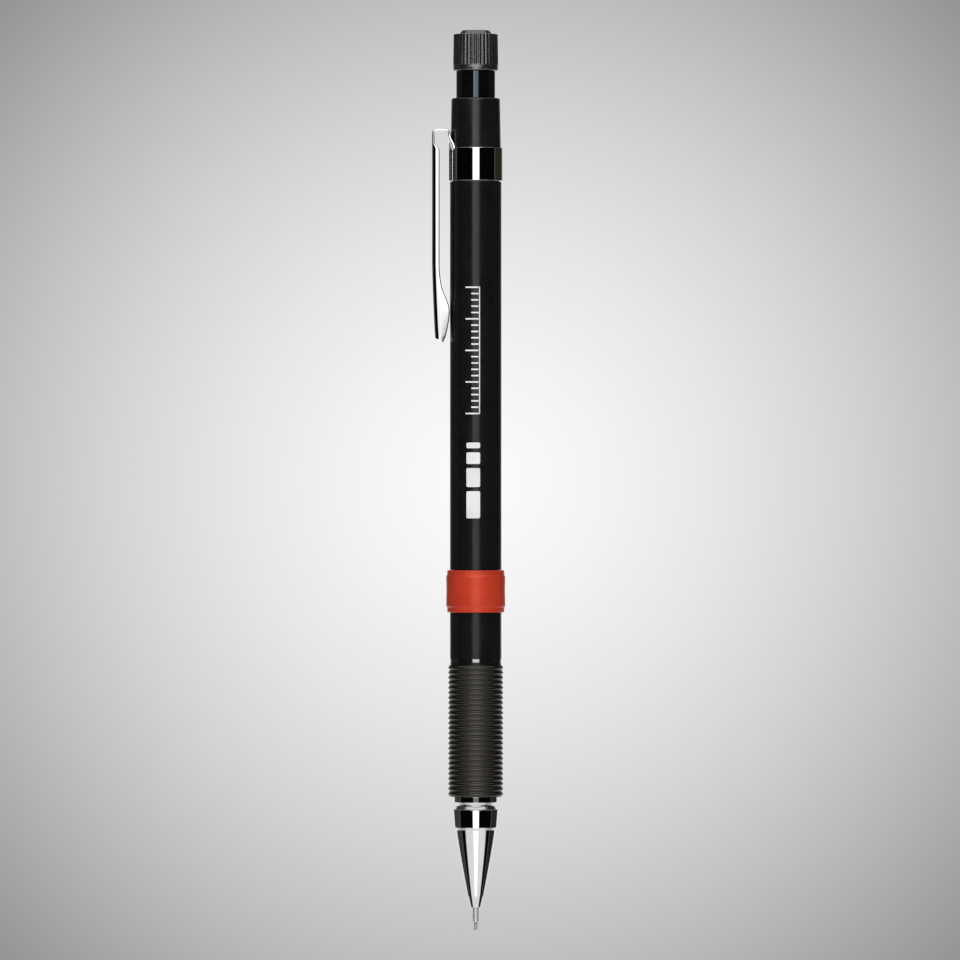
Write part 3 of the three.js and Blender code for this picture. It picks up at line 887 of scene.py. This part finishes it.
def clutch_ring(bottom, top):
    """Its bore tapers, to wedge the jaws shut."""
    ring, mouth, throat = 2.2, 1.24, 0.95
    return [(mouth, bottom), (ring, bottom, 0.12), (ring, top, 0.12), (throat, top)]


def clutch_seat(bottom, top):
    """A flanged bushing."""
    bore, bush, flange = 1.8, 2.28, 2.62
    under = top - 0.9
    return [(bore, bottom, 0.1), (bush, bottom, 0.1), (bush, under), (flange, under), (flange, top),
            (bore, top)]


def chuck_shank(bottom, top):
    """The collet's rear tube."""
    bore, shank = 0.45, 1.0
    return [(bore, bottom), (shank, bottom, 0.08), (shank, top, 0.08), (bore, top)]


def chuck_connector(bottom, top):
    """A sleeve for the shank below, a cup for the reservoir above, a funnel for the lead in between."""
    shank_bore, lead_bore, funnel, cup_bore = 1.1, 0.6, 1.65, 2.28
    tube, cup = 1.6, 2.6
    shank_end, funnel_bottom, funnel_top, flange = 30, 45.4, 48.2, bottom + 18.4
    return [(shank_bore, bottom), (tube, bottom, 0.15), (tube, flange, 0.1), (cup, flange, 0.1),
            (cup, top, 0.1), (cup_bore, top), (cup_bore, funnel_top), (funnel, funnel_top),
            (lead_bore, funnel_bottom), (lead_bore, shank_end), (shank_bore, shank_end)]


def lead_reservoir(bottom, top):
    """A plain tube."""
    bore, tube = 1.65, 2.2
    return [(bore, bottom), (tube, bottom, 0.08), (tube, top, 0.15), (bore, top, 0.15)]


def add_mechanism():
    for i in range(3):
        chuck_jaw(i)
    turned_part("clutch_ring", clutch_ring)
    turned_part("clutch_seat", clutch_seat)
    turned_part("chuck_shank", chuck_shank, 64)
    turned_part("chuck_connector", chuck_connector, 72)
    turned_part("lead_reservoir", lead_reservoir, 72)
    return_spring()
    for i in range(3):
        name = f"spare_lead_{i + 1}"
        a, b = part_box(name)
        lead(name, ((a.x + b.x) / 2 / MM, (a.y + b.y) / 2 / MM))


# Push button --------------------------------------------------------------------------------------------

CROWN = radius("crown_cap")
CROWN_BOTTOM = low("crown_cap")
CROWN_TOP = high("crown_cap") - 0.12
FLUTES = 36
FLUTE_DEPTH = 0.095


def flute(r, z, angle):
    """Fine upright flutes above the crown's collar, flat on their ridges and in their grooves."""
    if r < CROWN - 0.32 or z > CROWN_TOP - 0.55 or z < CROWN_BOTTOM + 0.5:
        return r
    turns = angle * FLUTES / (2 * math.pi)
    steepness, softness = 1.7, 0.97
    wave = steepness * math.asin(softness * math.cos(2 * math.pi * turns)) / math.pi
    groove = 0.5 - min(max(wave, -0.5), 0.5)
    return r - FLUTE_DEPTH * groove * smoothstep(CROWN_BOTTOM + 0.84, CROWN_BOTTOM + 0.9, z)


def crown_cap():
    """A hollow cap: collar, fluted wall that tapers slightly, shoulder and a low plateau on top."""
    shoulder = CROWN_TOP - 0.6
    collar = CROWN_BOTTOM + 0.95
    bore, bore_top, recess, recess_top = 2.85, CROWN_TOP - 1.9, 2.0, CROWN_TOP - 1
    plateau, plateau_foot = 2.15, 2.62
    taper, wall_top, steps = 0.075, shoulder - 0.22, 12
    wall = [(CROWN, collar, 0)]
    for i in range(1, steps + 1):
        t = i / steps
        wall.append((CROWN - taper * t, collar + (wall_top - collar) * t, 0))
    line = outline([
        (bore, CROWN_BOTTOM, 0.1),
        (CROWN - 0.05, CROWN_BOTTOM, 0.12),
        (CROWN, CROWN_BOTTOM + 0.4, 0.5),
        (CROWN - 0.05, CROWN_BOTTOM + 0.82, 0.05),
        *wall,
        (CROWN - 0.09, shoulder, 0.24),
        (plateau_foot, shoulder, 0.06),
        (plateau, CROWN_TOP, 0.12),
        (0, CROWN_TOP),
        (0, recess_top),
        (recess, recess_top),
        (recess, bore_top),
        (bore, bore_top),
    ])
    stand_for("crown_cap", turned("crown_cap", line, FLUTES * 12, flute))


def push_tube(bottom, top):
    """Its top is thinner, so that the crown fits over it."""
    bore, tube, neck = 2.3, radius("push_tube"), 2.72
    step = CROWN_BOTTOM - 0.1
    return [(bore, bottom, 0.1), (tube, bottom, 0.1), (tube, step), (neck, step), (neck, top, 0.1),
            (bore, top, 0.1)]


def eraser_holder(bottom, top):
    """A cup whose rim rests on the push tube."""
    bore, cup, rim = 1.85, 2.2, 2.66
    floor, under_rim = bottom + 1, top - 0.5
    return [(0, bottom), (cup, bottom, 0.3), (cup, under_rim), (rim, under_rim), (rim, top, 0.1),
            (bore, top, 0.1), (bore, floor), (0, floor)]


def eraser(bottom, top):
    """A stick with a worn, domed end."""
    r, dome, steps = radius("eraser"), 0.5, 8
    angles = [i * math.pi / 2 / steps for i in range(steps)]
    worn = [(r * math.cos(a), top - dome + dome * math.sin(a), 0) for a in angles]
    return [(0, bottom), (r, bottom, 0.15), *worn, (0, top)]


def add_push_button():
    turned_part("push_tube", push_tube)
    turned_part("eraser_holder", eraser_holder, 72)
    turned_part("eraser", eraser, 64)
    crown_cap()


# Studio -------------------------------------------------------------------------------------------------

# In metres, as the studio is far larger than the pencil. The lens is in millimetres.
EYE = Vector((0.000683, -1.271, 0.07147))
LENS = 300
WALL = 2.7
WALL_TOP = 3.0
FLOOR = -0.6
CURVE = 0.4


def to_linear(value):
    """A display value of 0 to 255 as scene light."""
    share = value / 255
    return share / 12.92 if share < 0.04045 else ((share + 0.055) / 1.055) ** 2.4


def add_camera():
    camera = bpy.data.objects.new("camera", bpy.data.cameras.new("camera"))
    bpy.context.scene.collection.objects.link(camera)
    camera.data.lens = LENS
    camera.data.sensor_width = 36
    camera.data.clip_end = 20
    camera.location = EYE
    camera.rotation_euler = (math.pi / 2, 0, 0)
    bpy.context.scene.camera = camera


def add_backdrop():
    """A pale bowl: a floor that curves up into a wall all round. Its light is painted: it glows, brightest
    behind the pencil.
    """
    centre_hole, flat, bend_steps, around = 0.01, 1.2, 12, 96
    profile = [(centre_hole, FLOOR), (flat, FLOOR)]
    for i in range(bend_steps + 1):
        angle = math.pi / 2 * i / bend_steps
        profile.append((WALL - CURVE + CURVE * math.sin(angle), FLOOR + CURVE * (1 - math.cos(angle))))
    profile += [(WALL, 0.6), (WALL, WALL_TOP)]
    count = len(profile)
    verts, faces = [], []
    for i in range(around):
        angle = 2 * math.pi * i / around
        verts += [(r * math.cos(angle), r * math.sin(angle), z) for r, z in profile]
        here, there = i * count, (i + 1) % around * count
        faces += [(here + k, there + k, there + k + 1, here + k + 1) for k in range(count - 1)]
    faces.append(tuple(i * count for i in range(around)))
    mesh = bpy.data.meshes.new("backdrop")
    mesh.from_pydata(verts, [], faces)
    mesh.shade_smooth()
    material = bpy.data.materials.new("backdrop")
    material.use_nodes = True
    material.node_tree.nodes.clear()
    shading = Nodes(material.node_tree)
    # Display values of 0 to 255 for the painted glow: the brightest, what is lost per millimetre and per
    # square millimetre of distance out to reach, and the value far away.
    brightest, fade, fade_more, far_away = 252, 0.11075, 0.000596, 214
    reach, steps = 360, 6
    stops = []
    for k in range(steps + 1):
        away = reach * k / steps
        stops.append((0.5 * k / steps, brightest - fade * away - fade_more * away * away))
    stops.append((1.0, far_away))
    position = shading.node("ShaderNodeNewGeometry").outputs["Position"]
    centre = (EYE.x, WALL, EYE.z)
    distance = shading.node("ShaderNodeVectorMath", [(0, position), (1, centre)], operation="DISTANCE")
    share = shading.maths("DIVIDE", distance.outputs["Value"], 2 * reach * MM)
    ramp = shading.node("ShaderNodeValToRGB", [("Fac", share)])
    ramp.color_ramp.interpolation = "LINEAR"
    while len(ramp.color_ramp.elements) < len(stops):
        ramp.color_ramp.elements.new(0.5)
    for element, (at, value) in zip(ramp.color_ramp.elements, stops):
        element.position = at
        light = to_linear(value)
        element.color = (light, light, light, 1)
    # Painted light: the bowl glows by itself, brightest behind the pencil, and lights nothing else.
    glow = shading.node("ShaderNodeEmission", [("Color", ramp.outputs["Color"])])
    shading.node("ShaderNodeOutputMaterial", [("Surface", glow.outputs["Emission"])])
    mesh.materials.append(material)
    backdrop = bpy.data.objects.new("backdrop", mesh)
    bpy.context.scene.collection.objects.link(backdrop)
    backdrop.visible_glossy = False
    backdrop.visible_diffuse = False
    backdrop.visible_shadow = False


# What each part of the studio sends to the pencil, by direction in degrees: azimuth from the front (-Y) to
# either side and elevation, each as start, end and softness, and the light. Each covers those before it.
PATCHES = [
    ((93, 146, 3), (-60, 45, 6), (0.026, 0.022, 0.017)),
    ((146, 181, 6), (-60, 45, 6), (0.28, 0.28, 0.275)),
    ((88.2, 91.5, 0.8), (-60, 45, 6), (0.13, 0.125, 0.115)),
    ((-1, 181, 1), (47, 91, 6), (0.85, 0.85, 0.85)),
]

# The lamps in front, with azimuths counted towards +X. A low one shows on the collar, the cone and other
# faces that lean down, the second is its bright core, and a wide high one shows on the grip's ridges.
LAMPS = [
    ((-13.5, 15.5, 2.5), (-28, -7.5, 1), 1.7),
    ((-13.5, 15.5, 2.5), (-16.5, -11, 1), 3.0),
    ((-30, 32, 6), (18, 46, 1), 3.2),
]


class Sky(Nodes):
    """The world's light by direction, in degrees."""

    def above(self, value, edge, soft):
        """0 below the edge and 1 above it, with a soft step between."""
        moving = isinstance(edge, bpy.types.NodeSocket)
        bounds = [self.maths("ADD", edge, shift) if moving else edge + shift for shift in (-soft, soft)]
        values = [("Value", value), ("From Min", bounds[0]), ("From Max", bounds[1])]
        return self.node("ShaderNodeMapRange", values, interpolation_type="SMOOTHSTEP").outputs["Result"]

    def inside(self, value, start, end, soft):
        """1 from start to end and 0 elsewhere."""
        return self.maths("SUBTRACT", self.above(value, start, soft), self.above(value, end, soft))

    def patch(self, azimuth, azimuths, elevation, elevations):
        """1 within a box of directions. azimuths and elevations are start, end and softness."""
        return self.maths("MULTIPLY", self.inside(azimuth, *azimuths), self.inside(elevation, *elevations))

    def grey(self, value):
        channels = [("Red", value), ("Green", value), ("Blue", value)]
        return self.node("ShaderNodeCombineColor", channels).outputs[0]


def add_world():
    """What lights the pencil and shows in its reflections. The backdrop hides it from the camera."""
    world = bpy.data.worlds.new("studio")
    bpy.context.scene.world = world
    world.use_nodes = True
    world.node_tree.nodes.clear()
    sky = Sky(world.node_tree)
    direction = sky.node("ShaderNodeTexCoord").outputs["Generated"]
    x, y, z = sky.node("ShaderNodeSeparateXYZ", [("Vector", direction)]).outputs
    signed = sky.maths("DEGREES", sky.maths("ARCTAN2", x, sky.maths("MULTIPLY", y, -1.0)))
    azimuth = sky.maths("ABSOLUTE", signed)
    elevation = sky.maths("DEGREES", sky.maths("ARCSINE", z))
    light = (0.0018, 0.0018, 0.002)
    for azimuths, elevations, value in PATCHES:
        light = sky.mixed(sky.patch(azimuth, azimuths, elevation, elevations), light, value)
    # The left side is a little lighter than the right.
    left = sky.patch(signed, (-146, -93, 3), elevation, (-60, 45, 6))
    light = sky.mixed(left, light, (0.055, 0.05, 0.043))
    # The pale table: its edge is 17.5 degrees down in front, lower at the sides, and rises to the back.
    below = sky.maths("SUBTRACT", 1.0, sky.above(elevation, -17.5, 0.8))
    near = sky.maths("MULTIPLY", sky.inside(azimuth, -5, 64, 2.5), below)
    rising = sky.maths("ADD", -74.0, sky.maths("MULTIPLY", azimuth, 0.47))
    around = sky.maths("SUBTRACT", 1.0, sky.above(elevation, sky.maths("MAXIMUM", -40.0, rising), 1.5))
    shade = sky.maths("SUBTRACT", 0.88, sky.maths("MULTIPLY", sky.inside(azimuth, 72, 122, 26), 0.5))
    light = sky.mixed(sky.maths("MAXIMUM", near, around), light, sky.grey(shade))
    # The tall soft box in front, a little to the right, brighter towards its top.
    tall = sky.patch(signed, (-12.5, 15, 1.8), elevation, (-15, 12, 2))
    light = sky.mixed(tall, light, sky.grey(sky.ranged(elevation, 0.06, 1.7, -2.8, 2.4)))
    # Its left edge is brightest beside the push tube.
    edge = sky.patch(signed, (-12.5, -7, 1), elevation, (2.64, 12, 0.06))
    light = sky.mixed(edge, light, (3.6, 3.6, 3.6))
    for azimuths, elevations, strength in LAMPS:
        lamp = sky.patch(signed, azimuths, elevation, elevations)
        light = sky.mixed(lamp, light, (strength, strength, strength))
    glow = sky.node("ShaderNodeBackground", [("Color", light), ("Strength", 1.0)])
    sky.node("ShaderNodeOutputWorld", [("Surface", glow.outputs["Background"])])


def add_fill(name, place_at, size, power):
    """A soft light that brightens matt surfaces and leaves no reflection."""
    light = bpy.data.lights.new(name, "AREA")
    light.shape = "DISK"
    light.size = size
    light.energy = power
    lamp = bpy.data.objects.new(name, light)
    bpy.context.scene.collection.objects.link(lamp)
    lamp.location = place_at
    lamp.rotation_mode = "QUATERNION"
    lamp.rotation_quaternion = (Vector(place_at) - Vector((0, 0, EYE.z))).to_track_quat("Z", "Y")
    lamp.visible_glossy = False
    lamp.visible_camera = False


def add_studio():
    add_camera()
    add_backdrop()
    add_world()
    size, strong, weak = 0.9, 3.0, 0.7
    add_fill("fill_front", (0.15, -1.5, 0.5), size, strong)
    add_fill("fill_left", (-1.4, -0.5, 0.3), size, weak)
    add_fill("fill_right", (1.4, -0.5, 0.3), size, weak)
    add_fill("fill_back", (0, 1.5, 0.9), size, strong)
    bpy.context.scene.view_settings.view_transform = "Standard"


add_studio()
add_tip()
front_section()
grip_sleeve()
colour_ring()
barrel_tube()
end_sleeve()
barrel_print()
add_clip()
add_mechanism()
add_push_button()
